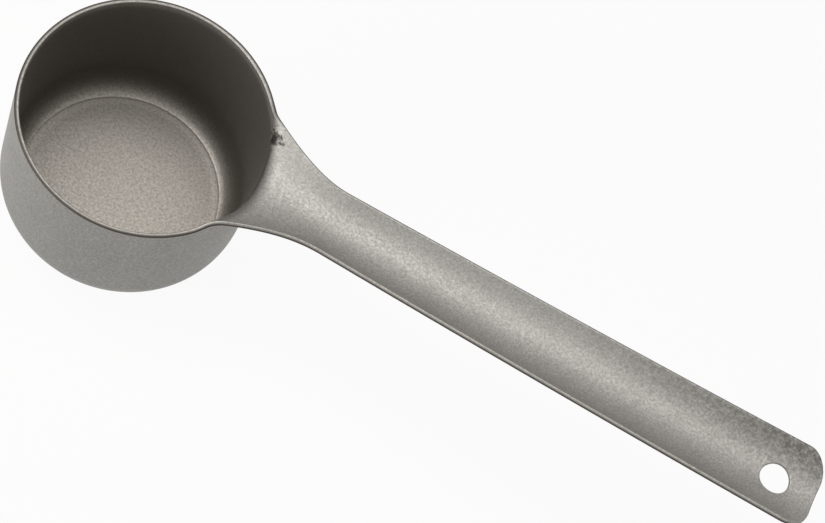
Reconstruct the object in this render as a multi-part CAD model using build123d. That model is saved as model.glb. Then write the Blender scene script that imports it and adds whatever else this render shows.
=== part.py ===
from build123d import *
import os
from math import asin, atan, cos, degrees, radians, sin, tan

# Measuring spoon pressed from one sheet of steel: a deep-drawn round cup whose
# wall bends outwards into a long trough-shaped handle with a hang hole.
# Frame: X along the handle, Z up along the cup's axis, origin in the middle of
# the face that the cup stands on. Millimetres.

# Sheet
sheet = 0.75

# Cup, measured over its outside
cup_radius = 20.0
cup_height = 27.4
wall_draft = 0.2
corner_radius = 7.4
corner_cut = 1.16

# Bend from the wall into the root, measured on the inside of the sheet
bend_radius = 3.0
root_drop = 0.95

# Root: a wide trough that narrows towards the neck, with flared corners
root_corner_azimuth = 33.0
bend_end_azimuth = 64.0
root_corner_rounding = 4.0
flank_angle = 24.5
neck_half_width = 5.25
neck_rounding = 20.0
root_length = 11.0
rim_rise_radius = 6.0
rim_rise_angle = 32.0

# Handle: a narrow trough that rises from the root and is bowed upwards along its length
trough_radius = 8.2
trough_spread = 0.85
handle_length = 85.8
end_half_width = 6.6
end_corner_radius = 4.4
handle_rise_angle = 1.5
handle_bow_radius = 2080.0

# Hang hole
hole_diameter = 4.8
hole_end_distance = 6.8

# Steps of the handle's bow
bow_steps = 4

# How far a cutting or filling body runs past what it cuts or fills
overrun = 6.0

# Places worked out from the sizes above
seam_reach = cup_radius + root_length
handle_reach = seam_reach + handle_length
hole_reach = handle_reach - hole_end_distance
rise_angle = radians(handle_rise_angle)
lip_height = cup_height - root_drop
seam_height = lip_height + root_length * tan(rise_angle)
bow_centre_reach = seam_reach - handle_bow_radius * sin(rise_angle)
bow_centre_height = seam_height + handle_bow_radius * cos(rise_angle)
handle_rise = handle_length * tan(rise_angle) + handle_length**2 / (2 * handle_bow_radius)
cover = cup_height + bend_radius + handle_rise + overrun
corner_reach = cup_radius * cos(radians(root_corner_azimuth))


def polar(radius, azimuth):
    """Point of the plan at a radius from the cup's axis and an azimuth from the handle."""
    return Vector(radius * cos(radians(azimuth)), radius * sin(radians(azimuth)))


def mirrored(point):
    """The same point on the other side of the handle's middle."""
    return Vector(point.X, -point.Y)


def cup_form(top, depth):
    """The cup's outer form up to a height, or its hollow when the depth is one sheet."""
    arc_reach = cup_radius - wall_draft - corner_radius
    # The flat floor cuts the corner's arc short, which leaves the ring seen inside the cup
    arc_height = corner_radius - corner_cut
    arc_radius = corner_radius - depth
    turn = asin((arc_height - depth) / arc_radius)
    lean = wall_draft / (cup_height - arc_height)
    points = [
        (0, depth),
        (arc_reach + arc_radius * cos(turn), depth),
        (arc_reach + arc_radius * cos(turn / 2), arc_height - arc_radius * sin(turn / 2)),
        (arc_reach + arc_radius, arc_height),
        (arc_reach + arc_radius + lean * (top - arc_height), top),
        (0, top),
    ]
    points = [(-reach, height) for reach, height in points]
    edges = [
        Line(points[0], points[1]),
        ThreePointArc(points[1], points[2], points[3]),
        *Polyline(points[3], points[4], points[5], points[0]).edges(),
    ]
    return revolve(Plane.XZ * make_face(Wire(edges)), Axis.Z)


def root_cone(depth):
    """Everything above the root's top surface, or above its underside when the depth is one sheet.

    The surface is a cone lying on its side: its lowest line runs from the lip
    along the handle's first slope, and its point lies past the neck, so that
    the trough grows wider towards the cup.
    """
    half_angle = atan(trough_spread)
    lowest_line = Vector(cos(rise_angle), 0, sin(rise_angle))
    apex = Vector(seam_reach, 0, seam_height) + lowest_line * (trough_radius / trough_spread)
    axis = Vector(-cos(half_angle - rise_angle), 0, sin(half_angle - rise_angle))
    apex -= axis * (depth / sin(half_angle))
    length = (apex.X + cup_radius + cover) * cos(half_angle)
    base = Plane(origin=apex + axis * length, x_dir=(0, 1, 0), z_dir=-axis)
    return base * Solid.make_cone(length * trough_spread, 0, length)


def root_sector():
    """Upright wedge about the cup's axis in which the wall is bent; past it the bend clears the rim."""
    corner = polar(2 * seam_reach, bend_end_azimuth)
    far = Vector(2 * seam_reach, corner.Y)
    return extrude(make_face(Polyline((0, 0), corner, far, mirrored(far), mirrored(corner), (0, 0))), 2 * cover)


def bent_form(cup_depth, cone_depth, radius):
    """Cup form joined to a root cone, with the inner corner between them rounded."""
    form = cup_form(cover, cup_depth)
    root = root_cone(cone_depth) & root_sector()
    body = form + root
    corner = new_edges(form, root, combined=body).sort_by(Axis.Z)[0]
    return fillet(corner, radius)


def roof_body():
    """Everything below the cut rim, seen from the side: level at the cup, then rising into the root."""
    turn = radians(rim_rise_angle)
    start = Vector(corner_reach - rim_rise_radius * tan(turn / 2), cup_height)
    bend_end = start + Vector(sin(turn), 1 - cos(turn)) * rim_rise_radius
    ramp_end = bend_end + Vector(cos(turn), sin(turn)) * bend_radius
    edges = [
        Line((-cup_radius - overrun, cup_height), start),
        RadiusArc(start, bend_end, rim_rise_radius),
        *Polyline(
            bend_end,
            ramp_end,
            (ramp_end.X, cover),
            (seam_reach, cover),
            (seam_reach, -overrun),
            (-cup_radius - overrun, -overrun),
            (-cup_radius - overrun, cup_height),
        ).edges(),
    ]
    side = Plane.XZ * make_face(Wire(edges))
    return extrude(side, cup_radius + overrun, both=True)


def plan_body():
    """Upright body over the plan of the cup, the flared root and the handle with its rounded end."""
    rim_radius = cup_radius + sheet / 2
    start = polar(rim_radius, root_corner_azimuth)
    centre = polar(rim_radius + root_corner_rounding, root_corner_azimuth)
    flank = radians(flank_angle)
    flank_side = Vector(-sin(flank), -cos(flank))
    touch = centre + flank_side * root_corner_rounding
    middle = centre + ((start - centre).normalized() + flank_side).normalized() * root_corner_rounding
    neck = Vector(touch.X + (touch.Y - neck_half_width) / tan(flank), neck_half_width)
    end = Vector(handle_reach, end_half_width)
    path = FilletPolyline(
        touch,
        neck,
        end,
        mirrored(end),
        mirrored(neck),
        mirrored(touch),
        radius=[neck_rounding, end_corner_radius, end_corner_radius, neck_rounding],
    )
    edges = [
        ThreePointArc(start, middle, touch),
        *path.edges(),
        ThreePointArc(mirrored(touch), mirrored(middle), mirrored(start)),
        ThreePointArc(mirrored(start), (-rim_radius, 0), start),
    ]
    return Pos(0, 0, -overrun) * extrude(make_face(Wire(edges)), cover + 2 * overrun)


def hang_hole():
    """Cutter for the hang hole, square to the bowed handle."""
    lean = asin((hole_reach - bow_centre_reach) / handle_bow_radius)
    height = bow_centre_height - handle_bow_radius * cos(lean)
    place = Pos(hole_reach, 0, height) * Rot(0, -degrees(lean), 0)
    return place * Cylinder(hole_diameter / 2, 2 * overrun)


def bent_cup():
    """Cup with its wall bent outwards into the root, up to where the handle begins."""
    outer = bent_form(0, sheet, bend_radius - sheet)
    inner = bent_form(sheet, 0, bend_radius)
    return (outer & roof_body() & plan_body()) - inner


def bowed_strip():
    """Strip of trough, carried from the root's end section along the bow.

    The section widens with the handle and keeps its depth.
    """
    shell = root_cone(sheet) - root_cone(0)
    slice_width = 2 * (end_half_width + sheet)
    slice_box = Box(root_length, slice_width, cover, align=(Align.MAX, Align.CENTER, Align.MIN))
    root_end = (shell & Pos(seam_reach, 0, sheet) * slice_box).faces().sort_by(Axis.X)[-1]
    bow_axis = Axis((bow_centre_reach, 0, bow_centre_height), (0, -1, 0))
    turn = degrees((handle_length + overrun) / handle_bow_radius)
    sections = []
    for i in range(bow_steps + 1):
        widening = (end_half_width / neck_half_width) ** (i / bow_steps)
        section = scale(root_end, by=(1, widening, 1))
        sections.append(section.rotate(bow_axis, turn * i / bow_steps).wire())
    return Part() + Solid.make_loft(sections)


cup = bent_cup()
handle = (bowed_strip() & plan_body()) - hang_hole()

os.makedirs("parts", exist_ok=True)
export_step(cup, "parts/cup.step")
export_step(handle, "parts/handle.step")
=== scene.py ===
import logging
from collections.abc import Iterable
from dataclasses import dataclass, field
from enum import Enum
from math import acos, atan2, comb, cos, hypot, pi, radians, sin

import bpy
import numpy as np
from bpy.types import Material, NodeOutputs, NodeSocket, NodeTree, Object
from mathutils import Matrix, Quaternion, Vector


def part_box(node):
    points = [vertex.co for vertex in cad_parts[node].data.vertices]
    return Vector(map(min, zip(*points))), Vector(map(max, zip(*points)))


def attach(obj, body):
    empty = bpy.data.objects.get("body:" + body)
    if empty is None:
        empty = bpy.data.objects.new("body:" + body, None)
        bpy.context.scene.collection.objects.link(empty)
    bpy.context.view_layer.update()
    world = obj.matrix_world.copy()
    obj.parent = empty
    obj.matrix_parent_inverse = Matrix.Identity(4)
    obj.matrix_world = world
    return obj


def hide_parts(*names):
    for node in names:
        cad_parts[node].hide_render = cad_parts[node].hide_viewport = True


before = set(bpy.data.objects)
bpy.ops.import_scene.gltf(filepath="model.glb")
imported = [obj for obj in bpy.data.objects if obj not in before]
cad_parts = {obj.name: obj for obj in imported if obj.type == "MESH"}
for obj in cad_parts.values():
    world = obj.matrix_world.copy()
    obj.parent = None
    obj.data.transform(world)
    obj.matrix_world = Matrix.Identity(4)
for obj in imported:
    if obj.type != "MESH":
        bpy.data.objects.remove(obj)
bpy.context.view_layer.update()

log = logging.getLogger("spoon")

# The shape is worked out in millimetres, and Blender's lengths are metres
MM = 0.001
PHOTO_WIDTH_PX = 825
# Kept with each point: which painted colour it takes, from 0 in the open through the cup's floor tone
# to painted shade on the inside of its wall, and past that to painted shade on the lower half of a cut
# edge
TONE_AND_SHADE_ZONE = "tone_and_shade_zone"
FLOOR_TONE_ZONE = 0.3
WALL_SHADE_ZONE = 1.0
UNDER_EDGE_SHADE_ZONE = 2.0
# A Mix node has one set of sockets for each kind of data; these are the numbers of its colours
MIX_FIRST = 6
MIX_SECOND = 7
MIX_RESULT = 2
# What goes into a node's sockets, by name or number: a value, or the socket that feeds it
NodeInputs = dict[str | int, object]

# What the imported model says: the cup's radius, the plane where cup and handle meet, the handle's tip
CUP_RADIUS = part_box("cup")[1].y / MM
SEAM_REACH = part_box("cup")[1].x / MM
TIP_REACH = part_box("handle")[1].x / MM

UPWARDS = np.array([0.0, 0.0, 1.0])


class Side(Enum):
    """The two faces of the sheet: the one that food touches, and the back."""

    UPPER = 1
    LOWER = -1


def linear_colour(hex_colour: str) -> tuple[float, float, float, float]:
    """Turns an sRGB hex colour into the linear colour that a shader takes.

    Args:
        hex_colour: six hex digits after a number sign.

    Returns:
        Linear red, green, blue, and an alpha of 1.
    """
    linear = []
    # The sRGB curve is straight near black and a power past that
    for i in (1, 3, 5):
        share = int(hex_colour[i:i + 2], 16) / 255
        linear.append(share / 12.92 if share <= 0.04045 else ((share + 0.055) / 1.055) ** 2.4)
    return (*linear, 1.0)


def add_node(
    tree: NodeTree, kind: str, inputs: NodeInputs | None = None, **settings: object
) -> NodeOutputs:
    """Adds one node to a material or world.

    Args:
        tree: the node tree that takes it.
        kind: Blender's name of the node's type, without the ShaderNode at its start.
        inputs: what goes into its sockets.
        settings: attributes of the node, by name.

    Returns:
        The new node's outputs.
    """
    node = tree.nodes.new("ShaderNode" + kind)
    for name, value in settings.items():
        setattr(node, name, value)
    for name, value in (inputs or {}).items():
        if isinstance(value, NodeSocket):
            tree.links.new(value, node.inputs[name])
        else:
            node.inputs[name].default_value = value
    return node.outputs


def unit(vectors: np.ndarray) -> np.ndarray:
    """The same vectors, each one unit long."""
    return vectors / np.linalg.norm(vectors, axis=-1, keepdims=True)


def smooth_step(share: np.ndarray | float) -> np.ndarray | float:
    """Eases a share from 0 to 1, level at both ends."""
    share = np.clip(share, 0.0, 1.0)
    return share * share * (3 - 2 * share)


@dataclass(frozen=True)
class Sheet:
    """The steel sheet that the whole spoon is pressed from, in millimetres."""

    thickness: float = 0.75
    edge_rounding: float = 0.22
    edge_steps: int = 4

    @property
    def half(self) -> float:
        """From the middle of the sheet to either face."""
        return self.thickness / 2

    def edge_profile(self) -> list[tuple[float, float, float, float]]:
        """The tumbled edge, from the upper face round to the lower one.

        Returns:
            For each point, how far it stands out and up from the middle of the sheet, and the
            same two shares of its normal.
        """
        flat = self.half - self.edge_rounding
        turns = [step * pi / 2 / self.edge_steps for step in range(self.edge_steps)]
        points = []
        for side, side_turns in ((1, reversed(turns)), (-1, turns)):
            for turn in side_turns:
                out, up = cos(turn), side * sin(turn)
                points.append((self.edge_rounding * out, side * flat + self.edge_rounding * up, out, up))
        return points


@dataclass(frozen=True)
class Cup:
    """Deep-drawn round cup: flat floor, coined ring, rounded corner and nearly upright wall.

    The corner is a quarter of an ellipse in the middle of the sheet. The floor cuts its lowest
    part off, which leaves the ring, and a low bead is coined along the inside of the ring.
    """

    sheet: Sheet
    radius: float = CUP_RADIUS
    height: float = 27.4
    draft: float = 0.2
    corner_reach: float = 15.3
    corner_height: float = 6.44
    corner_depth: float = 6.2
    ring_softness: float = 0.02
    bead_reach: float = 15.95
    bead_height: float = 0.06
    bead_inner_width: float = 0.75
    bead_outer_width: float = 0.2
    floor_edge: float = 14.1
    # Depth under the rim where the floor tone and the painted shade are full, and how far a face has
    # to look inwards before it takes the wall's painted shade
    tone_and_shade_depth: float = 2.0
    wall_shade_tilt: float = 0.5
    floor_square_share: float = 1 / 3
    floor_rings: int = 8
    ring_rows: int = 30
    corner_rows: int = 18
    wall_steps: int = 14

    @property
    def wall_reach(self) -> float:
        """Radius of the middle of the wall at the rim."""
        return self.radius - self.sheet.half

    @property
    def wall_foot(self) -> float:
        """Radius of the middle of the wall where the corner ends."""
        return self.wall_reach - self.draft

    def corner_line(self, turn: np.ndarray) -> tuple[np.ndarray, np.ndarray]:
        """Reaches and heights on the corner's ellipse, from 0 at its lowest point to a quarter turn."""
        reach = self.corner_reach + (self.wall_foot - self.corner_reach) * np.sin(turn)
        return reach, self.corner_height - self.corner_depth * np.cos(turn)

    def turned_profile(self) -> np.ndarray:
        """The ring and the rounded corner, in the middle of the sheet.

        Returns:
            One row per point from the floor outwards: reach, height, and the two shares of the
            upper face's normal.
        """
        corner_width = self.wall_foot - self.corner_reach
        ring_end = self.corner_reach + corner_width / 2
        reach = np.linspace(self.floor_edge, ring_end, self.ring_rows)
        turn = np.arcsin(np.clip((reach - self.corner_reach) / corner_width, 0, 1))
        lift = self.corner_line(turn)[1] - self.sheet.half
        height = self.sheet.half + (lift + np.hypot(lift, self.ring_softness)) / 2
        side = np.where(reach < self.bead_reach, self.bead_inner_width, self.bead_outer_width)
        height += self.bead_height * np.exp(-(((reach - self.bead_reach) / side) ** 2))
        corner = self.corner_line(np.linspace(turn[-1], pi / 2, self.corner_rows)[1:])
        line = np.column_stack([np.append(reach, corner[0]), np.append(height, corner[1])])
        along = unit(np.gradient(line, axis=0))
        along[-1] = (0, 1)
        return np.column_stack([line, -along[:, 1], along[:, 0]])


@dataclass
class Trough:
    """The root and the handle: a trough that flares towards the cup, and the bend that joins them.

    Heights are of the middle of the sheet. The wall bends outwards into the trough on one
    radius, worked out as a ball of that radius rolled along the corner between the two.
    """

    cup: Cup
    # Bend from the wall into the trough, in the middle of the sheet
    bend_radius: float = 2.625
    # Section of the trough: its radius at the neck, how it opens towards the cup and the tip
    neck_section_radius: float = 7.8
    neck_reach: float = 33.0
    root_flare: float = 0.046
    tip_opening: float = 0.025
    # Lowest line of the trough, under the rim's height at the neck's end
    line_reach: float = 36.0
    line_drop: float = 1.38
    line_slope: float = 0.025
    line_bow_radius: float = 2084.0
    # Plan of the edge, in the middle of the sheet
    corner_azimuth: float = radians(38.2)
    corner_slope: float = 0.44
    corner_softness: float = 1.6
    neck_end_reach: float = 34.0
    neck_half_width: float = 5.39
    root_arm: float = 9.4
    neck_arm: float = 2.9
    tip_half_width: float = 6.61
    # How far the first row of the root dips under the rim, and how far its bend rows run
    root_dip: float = 3.5
    bend_rows_length: float = 4.17
    bend_rows: int = 14
    # How finely the bend, its edge and the edge's plan are worked out
    table_degrees: float = 60.0
    table_rows: int = 601
    table_columns: int = 501
    smoothing_window: int = 9
    azimuth_step: float = radians(0.5)
    slope_step: float = 0.01
    length_points: int = 1201
    edge_search_end: float = 0.2
    edge_search_points: int = 600
    plan_points: int = 401
    table_azimuths: np.ndarray = field(init=False)
    table_starts: np.ndarray = field(init=False)
    table_ends: np.ndarray = field(init=False)

    def __post_init__(self) -> None:
        """Rolls the bend's ball along the wall, once for each azimuth of a table."""
        self.table_azimuths = np.radians(np.linspace(0, self.table_degrees, self.table_rows))
        out = np.linspace(0, 2 * self.bend_radius, self.table_columns)
        ball = np.sqrt(np.maximum(self.bend_radius**2 - (out - self.bend_radius) ** 2, 0))
        reach = self.cup.wall_reach + out
        x = reach[None] * np.cos(self.table_azimuths)[:, None]
        y = reach[None] * np.sin(self.table_azimuths)[:, None]
        room = self.trough_height(x, y) - ball[None]
        touch = room.argmin(axis=1)
        self.table_starts = room[np.arange(len(touch)), touch]
        padded = np.pad(out[touch], self.smoothing_window // 2, mode="edge")
        even = np.ones(self.smoothing_window) / self.smoothing_window
        self.table_ends = np.convolve(padded, even, mode="valid")

    def section_radius(self, x: np.ndarray) -> np.ndarray:
        """Radius of the trough's section at a reach along the handle, smallest at the neck."""
        before, after = np.maximum(self.neck_reach - x, 0), np.maximum(x - self.neck_reach, 0)
        return self.neck_section_radius + self.root_flare * before**2 + self.tip_opening * after

    def trough_height(self, x: np.ndarray, y: np.ndarray) -> np.ndarray:
        """Gives the height of the trough alone, without the bend.

        Args:
            x: reach along the handle.
            y: distance across it.

        Returns:
            The height over that point of the plan.
        """
        along = x - self.line_reach
        bow = along**2 / (2 * self.line_bow_radius)
        line = self.cup.height - self.line_drop + self.line_slope * along + bow
        section = self.section_radius(x)
        return line + section - np.sqrt(np.maximum(section**2 - y**2, 0))

    def bend_start(self, azimuth: np.ndarray) -> np.ndarray:
        """Height at which the wall starts to bend outwards."""
        return np.interp(np.abs(azimuth), self.table_azimuths, self.table_starts)

    def bend_end(self, azimuth: np.ndarray) -> np.ndarray:
        """How far past the wall the bend has turned into the trough."""
        return np.interp(np.abs(azimuth), self.table_azimuths, self.table_ends)

    def sheet_length(self, azimuth: np.ndarray, out: np.ndarray) -> np.ndarray:
        """Length along the sheet, straight outwards from the start of the bend.

        Args:
            azimuth: direction from the cup's axis, 0 along the handle.
            out: distance past the middle of the wall, in plan.

        Returns:
            The length, bend and trough together.
        """
        end = self.bend_end(azimuth)
        bent = self.bend_radius * np.arccos(1 - np.minimum(out, end) / self.bend_radius)
        further = np.maximum(out, end)
        low, high = (
            self.trough_height(reach * np.cos(azimuth), reach * np.sin(azimuth))
            for reach in (self.cup.wall_reach + end, self.cup.wall_reach + further)
        )
        return bent + np.hypot(further - end, high - low)

    def edge_rise(self, azimuth: np.ndarray) -> np.ndarray:
        """Tells how far the cut edge has risen over the rim.

        Args:
            azimuth: direction from the cup's axis.

        Returns:
            The rise, measured along the sheet.
        """
        round_wall = self.cup.wall_reach * (self.corner_azimuth - azimuth)
        soft = self.corner_softness
        easing = self.corner_slope * (round_wall + soft) ** 2 / (4 * soft)
        rising = np.where(round_wall > soft, self.corner_slope * round_wall, easing)
        return np.where(round_wall < -soft, 0.0, rising)

    def point_up_sheet(self, azimuth: float, length: float) -> tuple[np.ndarray, np.ndarray]:
        """A point given by its height on the wall, carried on past the bend along the sheet.

        Args:
            azimuth: direction from the cup's axis.
            length: height on the wall; past the bend's start, the length along the sheet is added.

        Returns:
            The point and the upper face's normal there.
        """
        outwards = np.array([cos(azimuth), sin(azimuth), 0.0])
        past = length - self.bend_start(azimuth)
        if past <= 0:
            return outwards * self.cup.wall_reach + UPWARDS * length, -outwards
        outs = np.linspace(0, 3 * self.bend_radius, self.length_points)
        return self.point_over_plan(azimuth, np.interp(past, self.sheet_length(azimuth, outs), outs))

    def point_over_plan(self, azimuth: float, out: float) -> tuple[np.ndarray, np.ndarray]:
        """The sheet over a point of the plan outside the wall.

        Args:
            azimuth: direction from the cup's axis.
            out: distance past the middle of the wall.

        Returns:
            The point and the upper face's normal there.
        """
        reach = self.cup.wall_reach + out
        x, y = reach * cos(azimuth), reach * sin(azimuth)
        if out < self.bend_end(azimuth):
            turn = acos(1 - out / self.bend_radius)
            step = self.azimuth_step
            drift = (self.bend_start(azimuth + step) - self.bend_start(azimuth - step)) / (2 * step)
            point = np.array([x, y, self.bend_start(azimuth) + self.bend_radius * sin(turn)])
            outwards = np.array([cos(azimuth), sin(azimuth), 0.0])
            around = np.array([-sin(azimuth), cos(azimuth), 0.0])
            normal = reach * (sin(turn) * UPWARDS - cos(turn) * outwards) - drift * sin(turn) * around
            return point, unit(normal)
        step = self.slope_step
        slope_x = (self.trough_height(x + step, y) - self.trough_height(x - step, y)) / (2 * step)
        slope_y = (self.trough_height(x, y + step) - self.trough_height(x, y - step)) / (2 * step)
        point = np.array([x, y, self.trough_height(x, y)])
        return point, unit(np.array([-slope_x, -slope_y, 1.0]))

    def point_at(self, x: float, y: float) -> tuple[np.ndarray, np.ndarray]:
        """The sheet over a point of the plan given by its two coordinates."""
        return self.point_over_plan(atan2(y, x), hypot(x, y) - self.cup.wall_reach)


@dataclass(frozen=True)
class HandleEnd:
    """Rounded end of the handle with its hang hole, in millimetres."""

    corner_radius: float = 4.1
    end_bulge: float = 0.2
    hole_reach: float = 109.95
    hole_radius: float = 2.42
    patch_length: float = 7.0
    tip_margin: float = 0.02
    rings: int = 14
    ring_growth: float = 1.2
    edge_step: float = 0.4

    @property
    def start_reach(self) -> float:
        """Where the plain strip ends and the patch round the hole begins."""
        return self.hole_reach - self.patch_length


@dataclass
class SpoonSheet:
    """The whole spoon as one middle surface, cut into named pieces."""

    sheet: Sheet
    cup: Cup
    trough: Trough
    end: HandleEnd
    columns_per_side: int = 48
    root_row_step: float = 0.55
    strip_row_step: float = 0.9
    points: list[np.ndarray] = field(default_factory=list)
    normals: list[np.ndarray] = field(default_factory=list)
    faces: dict[str, list[tuple[int, ...]]] = field(default_factory=lambda: {"cup": [], "handle": []})
    seam: list[int] = field(default_factory=list)
    loops: list[list[int]] = field(default_factory=list)
    edge_line: np.ndarray = field(init=False)
    columns: int = field(init=False)
    column_turn: float = field(init=False)
    half_sector: int = field(init=False)
    sector_azimuth: float = field(init=False)
    sector_shares: list[float] = field(init=False)

    def __post_init__(self) -> None:
        """Works out which columns of the wall lie in the root's sector."""
        self.columns = 4 * self.columns_per_side
        self.column_turn = 2 * pi / self.columns
        corner_start = self.trough.corner_azimuth + self.trough.corner_softness / self.cup.wall_reach
        self.half_sector = int(np.ceil(corner_start / self.column_turn))
        self.sector_azimuth = self.half_sector * self.column_turn
        numbers = range(-self.half_sector, self.half_sector + 1)
        self.sector_shares = [number / self.half_sector for number in numbers]

    @property
    def rim_height(self) -> float:
        """Height of the wall's top row, below the rounding of its edge."""
        return self.cup.height - self.sheet.edge_rounding

    def add_point(self, point: np.ndarray, normal: np.ndarray) -> int:
        """Adds one point of the middle surface.

        Args:
            point: its place.
            normal: the upper face's normal there.

        Returns:
            The point's number.
        """
        self.points.append(np.asarray(point, float))
        self.normals.append(np.asarray(normal, float))
        return len(self.points) - 1

    def add_rows(self, piece: str, rows: list[list[int]], closed: bool = False) -> None:
        """Fills the space between neighbouring rows of points with four-sided faces.

        Args:
            piece: the piece that takes the faces.
            rows: rows of point numbers, all as long as each other.
            closed: whether each row runs round to its own start.
        """
        for low, high in zip(rows, rows[1:]):
            count = len(low)
            for i in range(count if closed else count - 1):
                j = (i + 1) % count
                self.faces[piece].append((low[i], low[j], high[j], high[i]))

    def add_ring(self, reach: float, heights: Iterable[float], away: float, up: float) -> list[int]:
        """Adds one row of points round the cup, one in each column.

        Args:
            reach: distance from the cup's axis.
            heights: height in each column.
            away: how far the upper face's normal points away from the axis.
            up: how far it points upwards.

        Returns:
            The row.
        """
        row = []
        for column, height in enumerate(heights):
            azimuth = column * self.column_turn
            outwards = np.array([cos(azimuth), sin(azimuth), 0.0])
            normal = outwards * away + UPWARDS * up
            row.append(self.add_point(outwards * reach + UPWARDS * height, normal))
        return row

    def build_floor(self) -> list[int]:
        """Makes the flat floor: a square of cells in the middle and rings round it.

        Returns:
            The outermost ring, one point per column.
        """
        height = self.sheet.half
        count = self.columns_per_side
        ring_reach = self.cup.floor_edge
        half_square = ring_reach * self.cup.floor_square_share
        places = [half_square * np.tan(self.column_turn * (i - count // 2)) for i in range(count + 1)]
        grid = [[self.add_point((x, y, height), UPWARDS) for x in places] for y in places]
        self.add_rows("cup", grid)
        # The square's rim, anticlockwise from the middle of its right side
        rim = [grid[i][count] for i in range(count // 2, count)]
        rim += [grid[count][count - i] for i in range(count)]
        rim += [grid[count - i][0] for i in range(count)]
        rim += [grid[0][i] for i in range(count)]
        rim += [grid[i][count] for i in range(count // 2)]
        rings = [rim]
        for share in np.linspace(0, 1, self.cup.floor_rings + 1)[1:]:
            row = []
            for column, start in enumerate(rim):
                azimuth = column * self.column_turn
                far = np.array([ring_reach * cos(azimuth), ring_reach * sin(azimuth), height])
                row.append(self.add_point(self.points[start] * (1 - share) + far * share, UPWARDS))
            rings.append(row)
        self.add_rows("cup", rings, closed=True)
        return rings[-1]

    def wall_top(self, column: int) -> float:
        """Height at which a column of the wall ends: at the rim, or lower where the root begins."""
        share = min(column, self.columns - column, self.half_sector) / self.half_sector
        return self.rim_height - self.trough.root_dip * (1 - share**2)

    def build_cup(self) -> list[int]:
        """Makes the floor, the corner and the wall.

        Returns:
            The wall's top row, one point per column.
        """
        rows = [self.build_floor()]
        for reach, height, away, up in self.cup.turned_profile()[1:]:
            rows.append(self.add_ring(reach, [height] * self.columns, away, up))
        foot, foot_height = self.cup.wall_foot, self.cup.corner_height
        tops = np.array([self.wall_top(column) for column in range(self.columns)])
        for share in np.linspace(0, 1, self.cup.wall_steps + 1)[1:]:
            reach = foot + (self.cup.wall_reach - foot) * share
            rows.append(self.add_ring(reach, foot_height + (tops - foot_height) * share, -1.0, 0.0))
        self.add_rows("cup", rows, closed=True)
        return rows[-1]

    def bend_edge_azimuths(self) -> list[tuple[float, float]]:
        """Finds where the cut edge meets each row of the bend.

        Returns:
            For each row past the first, its length up the sheet from that first row, and the
            edge's azimuth there.
        """
        trough = self.trough
        azimuths = np.linspace(self.sector_azimuth, trough.edge_search_end, trough.edge_search_points)
        dip = trough.root_dip * (1 - (azimuths / self.sector_azimuth) ** 2)
        rise = trough.edge_rise(azimuths) + dip
        lengths = np.linspace(0, trough.bend_rows_length, trough.bend_rows + 1)[1:]
        return list(zip(lengths, np.interp(lengths, rise, azimuths)))

    def build_root(self, wall_row: list[int]) -> list[list[int]]:
        """Makes the bend and the flared root, up to the plane where the handle begins.

        Args:
            wall_row: the wall's top row.

        Returns:
            The rows of the root, the wall's own row first.
        """
        rows = [[wall_row[i % self.columns] for i in range(-self.half_sector, self.half_sector + 1)]]
        for length, edge_azimuth in self.bend_edge_azimuths():
            row = []
            for share in self.sector_shares:
                azimuth = edge_azimuth * share
                dip = self.trough.root_dip * (1 - (azimuth / self.sector_azimuth) ** 2)
                height = self.rim_height - dip + length
                row.append(self.add_point(*self.trough.point_up_sheet(azimuth, height)))
            rows.append(row)
        last = [self.points[number][:2] for number in rows[-1]]
        edge = last[-1]
        self.edge_line = self.plan_edge(edge, edge - self.points[rows[-2][-1]][:2])
        # Past the bend, the rows keep the last one's shape at first and grow straight by the seam
        count = int((SEAM_REACH - edge[0]) / self.root_row_step)
        for x in np.linspace(edge[0], SEAM_REACH, count + 1)[1:]:
            kept = 1 - smooth_step((x - edge[0]) / (SEAM_REACH - edge[0]))
            row = []
            for share, (last_x, last_y) in zip(self.sector_shares, last):
                across = self.half_width(x) * (kept * last_y / edge[1] + (1 - kept) * share)
                row.append(self.add_point(*self.trough.point_at(x + kept * (last_x - edge[0]), across)))
            rows.append(row)
        self.add_rows("cup", rows)
        return rows

    def plan_edge(self, start: np.ndarray, direction: np.ndarray) -> np.ndarray:
        """Plan of the far edge: one smooth curve to the neck, then straight to the tip.

        Args:
            start: where the bend's rows leave the edge.
            direction: the way that the edge runs there.

        Returns:
            Points of the middle of the sheet, in order along the handle.
        """
        trough = self.trough
        finish = np.array([trough.neck_end_reach, trough.neck_half_width])
        tip = np.array([TIP_REACH, trough.tip_half_width])
        way = unit(tip - finish)
        knots = [start, start + unit(direction) * trough.root_arm, finish - way * trough.neck_arm, finish]
        share = np.linspace(0, 1, trough.plan_points)[:, None]
        order = len(knots) - 1
        curve = sum(
            comb(order, i) * (1 - share) ** (order - i) * share**i * knot for i, knot in enumerate(knots)
        )
        return np.vstack([curve, tip])

    def half_width(self, x: float) -> float:
        """Half width of the root or the handle at a reach, in the middle of the sheet."""
        return float(np.interp(x, self.edge_line[:, 0], self.edge_line[:, 1]))

    def build_strip(self, root_rows: list[list[int]]) -> list[list[int]]:
        """Makes the handle from the seam to the patch round the hole.

        Args:
            root_rows: the rows of the root, which end at the seam.

        Returns:
            The rows of the strip, the seam first.
        """
        count = int((self.end.start_reach - SEAM_REACH) / self.strip_row_step)
        rows = [root_rows[-1]]
        for x in np.linspace(SEAM_REACH, self.end.start_reach, count + 1)[1:]:
            across = [self.half_width(x) * share for share in self.sector_shares]
            rows.append([self.add_point(*self.trough.point_at(x, y)) for y in across])
        self.add_rows("handle", rows)
        return rows

    def end_outline(self) -> list[tuple[float, float]]:
        """Draws the plan of the handle's edge round its end.

        Returns:
            Its points past the strip, from the near side to the far side.
        """
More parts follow.
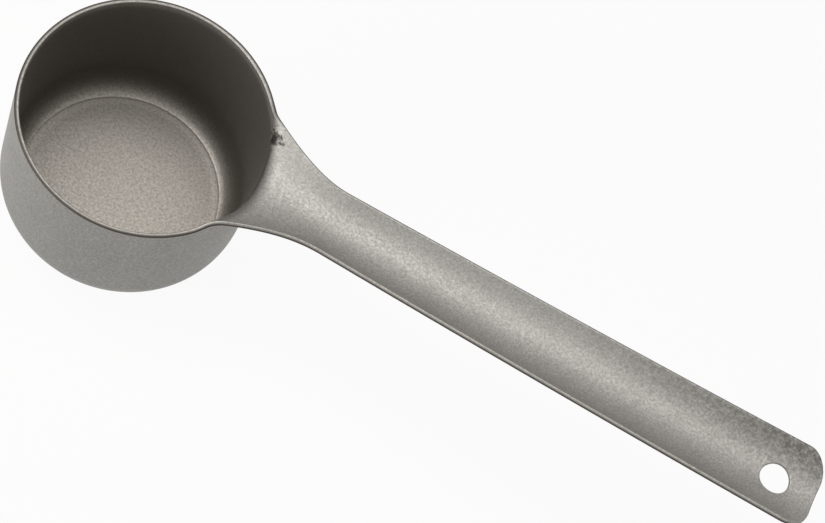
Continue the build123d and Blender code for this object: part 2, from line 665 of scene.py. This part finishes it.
        # The sheet is tilted there, so that its lower corner stands out a little further
        tip = TIP_REACH - self.sheet.edge_rounding - self.end.tip_margin
        start, radius, step = self.end.start_reach, self.end.corner_radius, self.end.edge_step
        corner = tip - radius
        half = self.half_width(corner)
        straight = np.linspace(start, corner, int((corner - start) / step) + 1)[1:]
        turns = np.linspace(0, pi / 2, int(radius * pi / 2 / step) + 1)[1:]
        across = np.linspace(half - radius, 0, int((half - radius) / step) + 1)[1:]
        side = [(x, self.half_width(x)) for x in straight]
        side += [(corner + radius * sin(turn), half - radius + radius * cos(turn)) for turn in turns]
        side += [(tip, y) for y in across]
        # The end edge bulges a little, which draws its corners back
        bulge = self.end.end_bulge
        side = [(x - bulge * smooth_step((x - corner) / radius) * (y / half) ** 2, y) for x, y in side]
        return [(x, -y) for x, y in side] + side[-2::-1]

    def build_end(self, last_row: list[int]) -> list[int]:
        """Makes the patch between the strip's last row, the rounded end and the hole.

        Args:
            last_row: the strip's last row, from the near edge to the far edge.

        Returns:
            The outline's points past the strip, from the near side to the far side.
        """
        outline = [self.add_point(*self.trough.point_at(x, y)) for x, y in self.end_outline()]
        outer = outline + last_row[::-1]
        centre = np.array([self.end.hole_reach, 0.0])
        hole = self.end.hole_radius + self.sheet.edge_rounding
        rings = []
        for ring in range(self.end.rings):
            share = (ring / self.end.rings) ** self.end.ring_growth
            row = []
            for number in outer:
                offset = self.points[number][:2] - centre
                inner = offset / np.linalg.norm(offset) * hole
                x, y = centre + inner * (1 - share) + offset * share
                row.append(self.add_point(*self.trough.point_at(x, y)))
            rings.append(row)
        rings.append(outer)
        self.add_rows("handle", rings, closed=True)
        self.loops.append(rings[0])
        return outline

    def build(self) -> None:
        """Makes the whole middle surface and lists its cut edges."""
        wall_row = self.build_cup()
        root_rows = self.build_root(wall_row)
        strip_rows = self.build_strip(root_rows)
        outline = self.build_end(strip_rows[-1])
        self.seam = root_rows[-1]
        open_rows = root_rows[1:] + strip_rows[1:]
        near = [row[0] for row in open_rows]
        far = [row[-1] for row in open_rows]
        rim_columns = range(self.half_sector, self.columns - self.half_sector + 1)
        rim = [wall_row[column % self.columns] for column in rim_columns]
        self.loops.append(rim + near + outline + far[::-1])

    def tone_and_shade_zone_at(self, point: np.ndarray, normal: np.ndarray) -> float:
        """Gives a face's zone of painted colour: the floor's tone, and painted shade on the cup's inner
        wall.

        Args:
            point: a point of the solid.
            normal: the face's normal there.

        Returns:
            The wall's value for painted shade inside the cup, the floor's lower value on its floor, 0 on
            the outside and on the handle.
        """
        reach = hypot(point[0], point[1])
        depth = (self.cup.height - point[2]) / self.cup.tone_and_shade_depth
        if reach > self.cup.wall_reach or normal[2] < 0:
            return 0.0
        inwards = -(point[0] * normal[0] + point[1] * normal[1]) / self.cup.radius
        upright = smooth_step((inwards - self.cup.wall_shade_tilt) / (1 - self.cup.wall_shade_tilt))
        return float(max(upright * WALL_SHADE_ZONE, FLOOR_TONE_ZONE) * smooth_step(depth))

    def outward_directions(self) -> dict[int, np.ndarray]:
        """Finds the way out of the sheet along its cut edges.

        Returns:
            For each point of a cut edge, the direction square to that edge.
        """
        directions: dict[int, np.ndarray] = {}
        centres: dict[int, list[np.ndarray]] = {}
        for faces in self.faces.values():
            for face in faces:
                middle = np.mean([self.points[i] for i in face], axis=0)
                for i in face:
                    centres.setdefault(i, []).append(middle)
        for loop in self.loops:
            count = len(loop)
            for i, number in enumerate(loop):
                before = unit(self.points[number] - self.points[loop[i - 1]])
                after = unit(self.points[loop[(i + 1) % count]] - self.points[number])
                out = unit(np.cross(before + after, self.normals[number]))
                inside = np.mean(centres[number], axis=0) - self.points[number]
                directions[number] = -out if np.dot(out, inside) > 0 else out
        return directions


@dataclass
class PressedPiece:
    """One named piece of the spoon: its share of the middle surface, thickened to a closed solid.

    The name is also the CAD node's. The seam's way is 1 where the piece ends at the seam going
    along +X, and -1 where it starts there.
    """

    name: str
    surface: SpoonSheet
    seam_way: float
    points: list[np.ndarray] = field(default_factory=list)
    normals: list[np.ndarray] = field(default_factory=list)
    tone_and_shade_zone: list[float] = field(default_factory=list)
    faces: list[list[int]] = field(default_factory=list)
    corner_normals: list[np.ndarray] = field(default_factory=list)
    skins: dict[Side, dict[int, int]] = field(default_factory=lambda: {side: {} for side in Side})
    edges: dict[int, list[int]] = field(default_factory=dict)

    def add_point(self, point: np.ndarray, normal: np.ndarray, least_tone_and_shade: float = 0.0) -> int:
        """Adds one point of the solid.

        Args:
            point: its place.
            normal: its normal.
            least_tone_and_shade: the least zone of painted tone and painted shade that it takes, whatever
                its place.

        Returns:
            The point's number in the piece.
        """
        self.points.append(point)
        self.normals.append(normal)
        self.tone_and_shade_zone.append(max(self.surface.tone_and_shade_zone_at(point, normal), least_tone_and_shade))
        return len(self.points) - 1

    def add_face(self, corners: list[int], flat_normal: np.ndarray | None = None) -> None:
        """Adds a face with its outside out.

        Args:
            corners: the face's points, in order round it.
            flat_normal: its normal if it is shaded flat; otherwise it takes those of its points.
        """
        around = np.array([self.points[i] for i in corners])
        spokes = around[1:] - around[0]
        normal = np.cross(spokes[:-1], spokes[1:]).sum(axis=0)
        shading = [self.normals[i] if flat_normal is None else flat_normal for i in corners]
        turned = np.dot(normal, sum(shading)) < 0
        self.faces.append(corners[::-1] if turned else corners)
        self.corner_normals += shading[::-1] if turned else shading

    def build(self) -> Object:
        """Thickens the piece.

        Returns:
            Its Blender object, bare of any finish.
        """
        half = self.surface.sheet.half
        faces = self.surface.faces[self.name]
        for number in sorted({i for face in faces for i in face}):
            point, normal = self.surface.points[number], self.surface.normals[number]
            for side in Side:
                skin_normal = normal * side.value
                self.skins[side][number] = self.add_point(point + skin_normal * half, skin_normal)
        for face in faces:
            for side in Side:
                self.add_face([self.skins[side][i] for i in face])
        self.close_edges()
        self.close_seam()
        return self.to_object()

    def edge_points(self, number: int, out: np.ndarray) -> list[int]:
        """The rounded edge at one point, upper face first.

        Args:
            number: the point of the middle surface.
            out: the way out of the sheet there.

        Returns:
            Numbers of the solid's points round the edge, both faces' own points included.
        """
        if number not in self.edges:
            middle, normal = self.surface.points[number], self.surface.normals[number]
            chain = [self.skins[Side.UPPER][number]]
            for reach, rise, normal_out, normal_up in self.surface.sheet.edge_profile():
                place = middle + out * reach + normal * rise
                # Painted shade: the lower half of a cut edge, which faces downwards, is coloured dark
                under_edge_shade = UNDER_EDGE_SHADE_ZONE if rise < 0 else 0.0
                chain.append(self.add_point(place, out * normal_out + normal * normal_up, under_edge_shade))
            chain.append(self.skins[Side.LOWER][number])
            self.edges[number] = chain
        return self.edges[number]

    def close_edges(self) -> None:
        """Rounds the sheet's cut edges wherever this piece has them."""
        own = {
            frozenset((a, b))
            for face in self.surface.faces[self.name]
            for a, b in zip(face, face[1:] + face[:1])
        }
        directions = self.surface.outward_directions()
        for loop in self.surface.loops:
            for a, b in zip(loop, loop[1:] + loop[:1]):
                if frozenset((a, b)) in own:
                    first = self.edge_points(a, directions[a])
                    second = self.edge_points(b, directions[b])
                    for i in range(len(first) - 1):
                        self.add_face([first[i], second[i], second[i + 1], first[i + 1]])

    def close_seam(self) -> None:
        """Closes the piece with a flat end where it meets the other one."""
        upper, lower = self.skins[Side.UPPER], self.skins[Side.LOWER]
        seam = self.surface.seam
        out = np.array([self.seam_way, 0.0, 0.0])
        for a, b in zip(seam, seam[1:]):
            self.add_face([upper[a], upper[b], lower[b], lower[a]], out)
        for end in (seam[0], seam[-1]):
            self.add_face(self.edges[end], out)

    def to_object(self) -> Object:
        """Writes the solid as a mesh in metres, with its own normals.

        Returns:
            The object that holds the mesh.
        """
        mesh = bpy.data.meshes.new(self.name)
        mesh.from_pydata([tuple(point * MM) for point in self.points], [], self.faces)
        mesh.polygons.foreach_set("use_smooth", [True] * len(mesh.polygons))
        mesh.normals_split_custom_set([tuple(normal) for normal in self.corner_normals])
        # Each point's zone of the floor's tone and of painted shade, which the steel's colours follow
        mesh.attributes.new(TONE_AND_SHADE_ZONE, "FLOAT", "POINT").data.foreach_set("value", self.tone_and_shade_zone)
        mesh.validate(clean_customdata=False)
        piece = bpy.data.objects.new(self.name + "_pressing", mesh)
        bpy.context.scene.collection.objects.link(piece)
        return piece

    def dress(self, piece: Object, steel: Material) -> None:
        """Gives the piece its finish."""
        piece.data.materials.append(steel)


@dataclass(frozen=True)
class Ramp:
    """Carries values from low to high over to those from start to stop, and holds its two ends."""

    low: float
    high: float
    start: float
    stop: float

    def inputs(self, value: NodeSocket) -> NodeInputs:
        """What a Map Range node takes."""
        ends = {"From Min": self.low, "From Max": self.high, "To Min": self.start, "To Max": self.stop}
        return {"Value": value, **ends}


@dataclass(frozen=True)
class Patches:
    """Noise by the size of its patches in millimetres and the number of its finer layers."""

    size_mm: float
    detail: float
    roughness: float = 0.6

    def inputs(self, place: NodeSocket) -> NodeInputs:
        """What a Noise Texture node takes, with coordinates in metres."""
        scale = 1 / (self.size_mm * MM)
        return {"Vector": place, "Scale": scale, "Detail": self.detail, "Roughness": self.roughness}


@dataclass(frozen=True)
class TumbledStainless:
    """18/8 stainless steel, pressed and then tumbled with ceramic media.

    Tumbling leaves a dull grey skin without direction: a wide soft highlight, a fine grain of
    tiny dents, and faint cloudy patches where the media polished more or less. Painted shade
    makes the inside of the cup's wall darker and browner, fully so a little under the rim, and
    darkens the lower half of every cut edge.
    """

    bright: str = "#a3a19c"
    dull: str = "#888682"
    speckled: str = "#77746f"
    floor_skin: str = "#9f988f"
    # Painted shade on the inside of the cup's wall
    painted_wall_shade: str = "#6a6661"
    # Painted shade on the lower half of every cut edge
    under_edge_shade: str = "#423e3a"
    mottled: str = "#4e4b47"
    root_corner_dark: str = "#292521"
    metallic: float = 1.0
    # Real dents are finer than a tenth of a millimetre, so grain and speckle are drawn coarser to show
    grain: Patches = Patches(0.22, 2.0)
    grain_depth_mm: float = 0.005
    speckle: Patches = Patches(0.4, 3.0)
    mottle: Patches = Patches(0.8, 4.0)
    root_corner_edge: Patches = Patches(0.8, 3.0)
    clouds: Patches = Patches(6.0, 3.0)
    # Share of each colour over the range of what it follows, and the roughness over the speckle
    grain_ramp: Ramp = Ramp(0.3, 0.7, 0.0, 1.0)
    cloud_ramp: Ramp = Ramp(0.4, 0.7, 0.0, 0.35)
    speckle_ramp: Ramp = Ramp(0.35, 0.7, 0.0, 0.7)
    roughness_ramp: Ramp = Ramp(0.3, 0.7, 0.5, 0.6)
    floor_ramp: Ramp = Ramp(0.0, FLOOR_TONE_ZONE, 0.0, 0.7)
    # Painted shade on the cup's inner wall, from the floor's zone up to the wall's
    wall_shade_ramp: Ramp = Ramp(FLOOR_TONE_ZONE, WALL_SHADE_ZONE, 0.0, 1.0)
    # Painted shade on the lower half of each cut edge
    under_edge_shade_ramp: Ramp = Ramp(WALL_SHADE_ZONE, UNDER_EDGE_SHADE_ZONE, 0.0, 1.0)
    # Mottling on the far side of the handle's end, which grows along the handle and across it
    mottled_along: Ramp = Ramp(72.0 * MM, 112.0 * MM, 0.0, 1.0)
    mottled_across: Ramp = Ramp(0.5 * MM, 5.0 * MM, 0.0, 1.0)
    mottled_patches: Ramp = Ramp(0.32, 0.66, 0.125, 1.0)
    mottled_ramp: Ramp = Ramp(0.0, 1.0, 0.0, 0.8)
    # Dark patch in the far corner of the root, where it meets the wall, whose edge the patches make
    # ragged
    root_corner_place: tuple[float, float, float] = (18.1, 7.8, 27.2)
    root_corner_patches: Ramp = Ramp(0.35, 0.65, 0.5, 1.9)
    root_corner_ramp: Ramp = Ramp(1.5 * MM, 0.75 * MM, 0.0, 0.9)

    def mottling(self, tree: NodeTree, place: NodeSocket) -> NodeSocket:
        """Draws the mottling's patches where the handle has them.

        Args:
            tree: the material's nodes.
            place: coordinates in metres.

        Returns:
            From 0 where there is none to 1 in a patch at the handle's far corner.
        """
        axes = add_node(tree, "SeparateXYZ", {"Vector": place})
        noise = add_node(tree, "TexNoise", self.mottle.inputs(place))["Fac"]
        ramps = (self.mottled_along, self.mottled_across, self.mottled_patches)
        amount = 1.0
        for ramp, value in zip(ramps, (axes["X"], axes["Y"], noise)):
            share = add_node(tree, "MapRange", ramp.inputs(value))["Result"]
            amount = add_node(tree, "Math", {0: amount, 1: share}, operation="MULTIPLY")["Value"]
        return amount

    def root_corner_distance(self, tree: NodeTree, place: NodeSocket) -> NodeSocket:
        """Measures how far a point lies from the dark patch, more or less by the patches at its edge.

        Args:
            tree: the material's nodes.
            place: coordinates in metres.

        Returns:
            The distance in metres, times the patches' value.
        """
        ends = {0: place, 1: tuple(Vector(self.root_corner_place) * MM)}
        distance = add_node(tree, "VectorMath", ends, operation="DISTANCE")["Value"]
        noise = add_node(tree, "TexNoise", self.root_corner_edge.inputs(place))["Fac"]
        patches = add_node(tree, "MapRange", self.root_corner_patches.inputs(noise))["Result"]
        return add_node(tree, "Math", {0: distance, 1: patches}, operation="MULTIPLY")["Value"]

    def make(self) -> Material:
        """Builds the material.

        Returns:
            The finish that both pieces of the spoon have.
        """
        material = bpy.data.materials.new("tumbled_stainless_steel")
        material.use_nodes = True
        tree = material.node_tree
        tree.nodes.clear()
        place = add_node(tree, "TexCoord")["Object"]
        # Zone of the floor's tone and of painted shade, kept with each point
        tone_and_shade_zone = add_node(tree, "Attribute", attribute_name=TONE_AND_SHADE_ZONE)["Fac"]
        grain, speckle, clouds = (
            add_node(tree, "TexNoise", patches.inputs(place))["Fac"]
            for patches in (self.grain, self.speckle, self.clouds)
        )
        # Each colour lies over those before it
        layers = (
            (self.bright, self.grain_ramp, grain),
            (self.dull, self.cloud_ramp, clouds),
            (self.floor_skin, self.floor_ramp, tone_and_shade_zone),
            (self.speckled, self.speckle_ramp, speckle),
            (self.mottled, self.mottled_ramp, self.mottling(tree, place)),
            # Painted shade on the cup's inner wall
            (self.painted_wall_shade, self.wall_shade_ramp, tone_and_shade_zone),
            # Painted shade on the lower half of each cut edge
            (self.under_edge_shade, self.under_edge_shade_ramp, tone_and_shade_zone),
            (self.root_corner_dark, self.root_corner_ramp, self.root_corner_distance(tree, place)),
        )
        colour = linear_colour(self.dull)
        for hex_colour, ramp, value in layers:
            share = add_node(tree, "MapRange", ramp.inputs(value))["Result"]
            mix = {"Factor": share, MIX_FIRST: colour, MIX_SECOND: linear_colour(hex_colour)}
            colour = add_node(tree, "Mix", mix, data_type="RGBA")[MIX_RESULT]
        roughness = add_node(tree, "MapRange", self.roughness_ramp.inputs(speckle))["Result"]
        dents = {"Height": grain, "Distance": self.grain_depth_mm * MM}
        skin = {
            "Base Color": colour,
            "Metallic": self.metallic,
            "Roughness": roughness,
            "Normal": add_node(tree, "Bump", dents)["Normal"],
        }
        shader = add_node(tree, "BsdfPrincipled", skin)["BSDF"]
        add_node(tree, "OutputMaterial", {"Surface": shader})
        return material


def seen_rays(tree: NodeTree) -> NodeSocket:
    """Picks out the rays that show a thing: directly, in metal or through glass.

    Args:
        tree: the nodes of a material or world.

    Returns:
        1 for those rays, 0 for those that only carry its light to other surfaces.
    """
    rays = add_node(tree, "LightPath")
    seen = rays["Is Camera Ray"]
    for other in (rays["Is Glossy Ray"], rays["Is Transmission Ray"]):
        seen = add_node(tree, "Math", {0: seen, 1: other}, operation="MAXIMUM")["Value"]
    return seen


@dataclass(frozen=True)
class PaleCard:
    """Matt white card under the spoon: nearly plain white to the eye, with a very faint shadow."""

    colour: str = "#d6d5d2"
    # How much of what is seen is plain white; the rest is the lit card with its shadow
    white_share: float = 0.94

    def make(self) -> Material:
        """Builds the material.

        Returns:
            The floor's finish.
        """
        material = bpy.data.materials.new("pale_card")
        material.use_nodes = True
        tree = material.node_tree
        tree.nodes.clear()
        colour = {"Color": linear_colour(self.colour)}
        card = add_node(tree, "BsdfDiffuse", colour)["BSDF"]
        white = add_node(tree, "Emission")["Emission"]
        product = {0: seen_rays(tree), 1: self.white_share}
        share = add_node(tree, "Math", product, operation="MULTIPLY")["Value"]
        mixed = add_node(tree, "MixShader", {0: share, 1: card, 2: white})["Shader"]
        add_node(tree, "OutputMaterial", {"Surface": mixed})
        return material


@dataclass(frozen=True)
class Softbox:
    """Square softbox that faces the spoon: angles in degrees, lengths in millimetres."""

    name: str
    azimuth: float
    elevation: float
    watts: float
    side: float = 330.0
    distance: float = 600.0

    def build(self, aim: Vector) -> None:
        """Hangs the softbox at its distance from the point that it faces.

        Args:
            aim: that point, in millimetres.
        """
        lamp = bpy.data.lights.new(self.name, "AREA")
        lamp.shape = "SQUARE"
        lamp.size = self.side * MM
        lamp.energy = self.watts
        azimuth, elevation = radians(self.azimuth), radians(self.elevation)
        way = Vector((cos(azimuth) * cos(elevation), sin(azimuth) * cos(elevation), sin(elevation)))
        holder = bpy.data.objects.new(self.name, lamp)
        bpy.context.scene.collection.objects.link(holder)
        holder.location = (aim + way * self.distance) * MM
        holder.rotation_mode = "QUATERNION"
        holder.rotation_quaternion = (-way).to_track_quat("-Z", "Y")


@dataclass(frozen=True)
class Studio:
    """Pale floor, soft light and the camera of the photograph, lengths in millimetres.

    The spoon stands in white surroundings. Three softboxes give it its sheen, and the two
    stronger ones stand on the left.
    """

    softboxes: tuple[Softbox, ...] = (
        Softbox("left_high", 180, 60, 1.75),
        Softbox("left_low", 225, 12, 2.8),
        Softbox("overhead", 90, 78, 0.95),
    )
    light_aim: tuple[float, float, float] = (40.0, 0.0, 20.0)
    card: PaleCard = PaleCard()
    floor_size: float = 3000.0
    camera_place: tuple[float, float, float] = (29.07, -153.24, 325.2)
    camera_aim: tuple[float, float, float] = (45.64, 1.51, 27.38)
    camera_roll: float = radians(36.03)
    focal_px: float = 2209.2
    sensor_width: float = 36.0
    nearest: float = 10.0

    def build_floor(self) -> None:
        """Lays the card that the spoon stands on."""
        bpy.ops.mesh.primitive_plane_add(size=self.floor_size * MM)
        floor = bpy.context.object
        floor.name = "floor"
        floor.data.materials.append(self.card.make())

    def build_world(self) -> None:
        """Surrounds the stage with a backdrop that is seen as white, and lights nothing."""
        world = bpy.data.worlds.new("studio")
        bpy.context.scene.world = world
        world.use_nodes = True
        tree = world.node_tree
        tree.nodes.clear()
        white = {"Color": linear_colour("#ffffff"), "Strength": seen_rays(tree)}
        backdrop = add_node(tree, "Background", white)["Background"]
        add_node(tree, "OutputWorld", {"Surface": backdrop})

    def build_camera(self) -> None:
        """Sets up the camera at the photograph's viewing angle."""
        data = bpy.data.cameras.new("camera")
        data.sensor_width = self.sensor_width
        data.lens = self.focal_px * self.sensor_width / PHOTO_WIDTH_PX
        data.clip_start = self.nearest * MM
        data.clip_end = self.floor_size * MM
        camera = bpy.data.objects.new("camera", data)
        bpy.context.scene.collection.objects.link(camera)
        camera.location = Vector(self.camera_place) * MM
        camera.rotation_mode = "QUATERNION"
        facing = (Vector(self.camera_aim) - Vector(self.camera_place)).to_track_quat("-Z", "Y")
        camera.rotation_quaternion = facing @ Quaternion((0, 0, 1), self.camera_roll)
        bpy.context.scene.camera = camera

    def build(self) -> None:
        """Builds the whole stage."""
        bpy.context.scene.view_settings.view_transform = "Standard"
        self.build_floor()
        self.build_world()
        for softbox in self.softboxes:
            softbox.build(Vector(self.light_aim))
        self.build_camera()


def main() -> None:
    """Builds the spoon and the stage, and reports each piece."""
    logging.basicConfig(level=logging.INFO, format="%(message)s")
    sheet = Sheet()
    cup = Cup(sheet)
    surface = SpoonSheet(sheet, cup, Trough(cup), HandleEnd())
    surface.build()
    steel = TumbledStainless().make()
    for name, seam_way in (("cup", 1.0), ("handle", -1.0)):
        pressing = PressedPiece(name, surface, seam_way)
        piece = pressing.build()
        pressing.dress(piece, steel)
        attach(piece, "root")
        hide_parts(name)
        log.info("%s: %d faces", piece.name, len(piece.data.polygons))
    Studio().build()


if __name__ == "__main__":
    main()
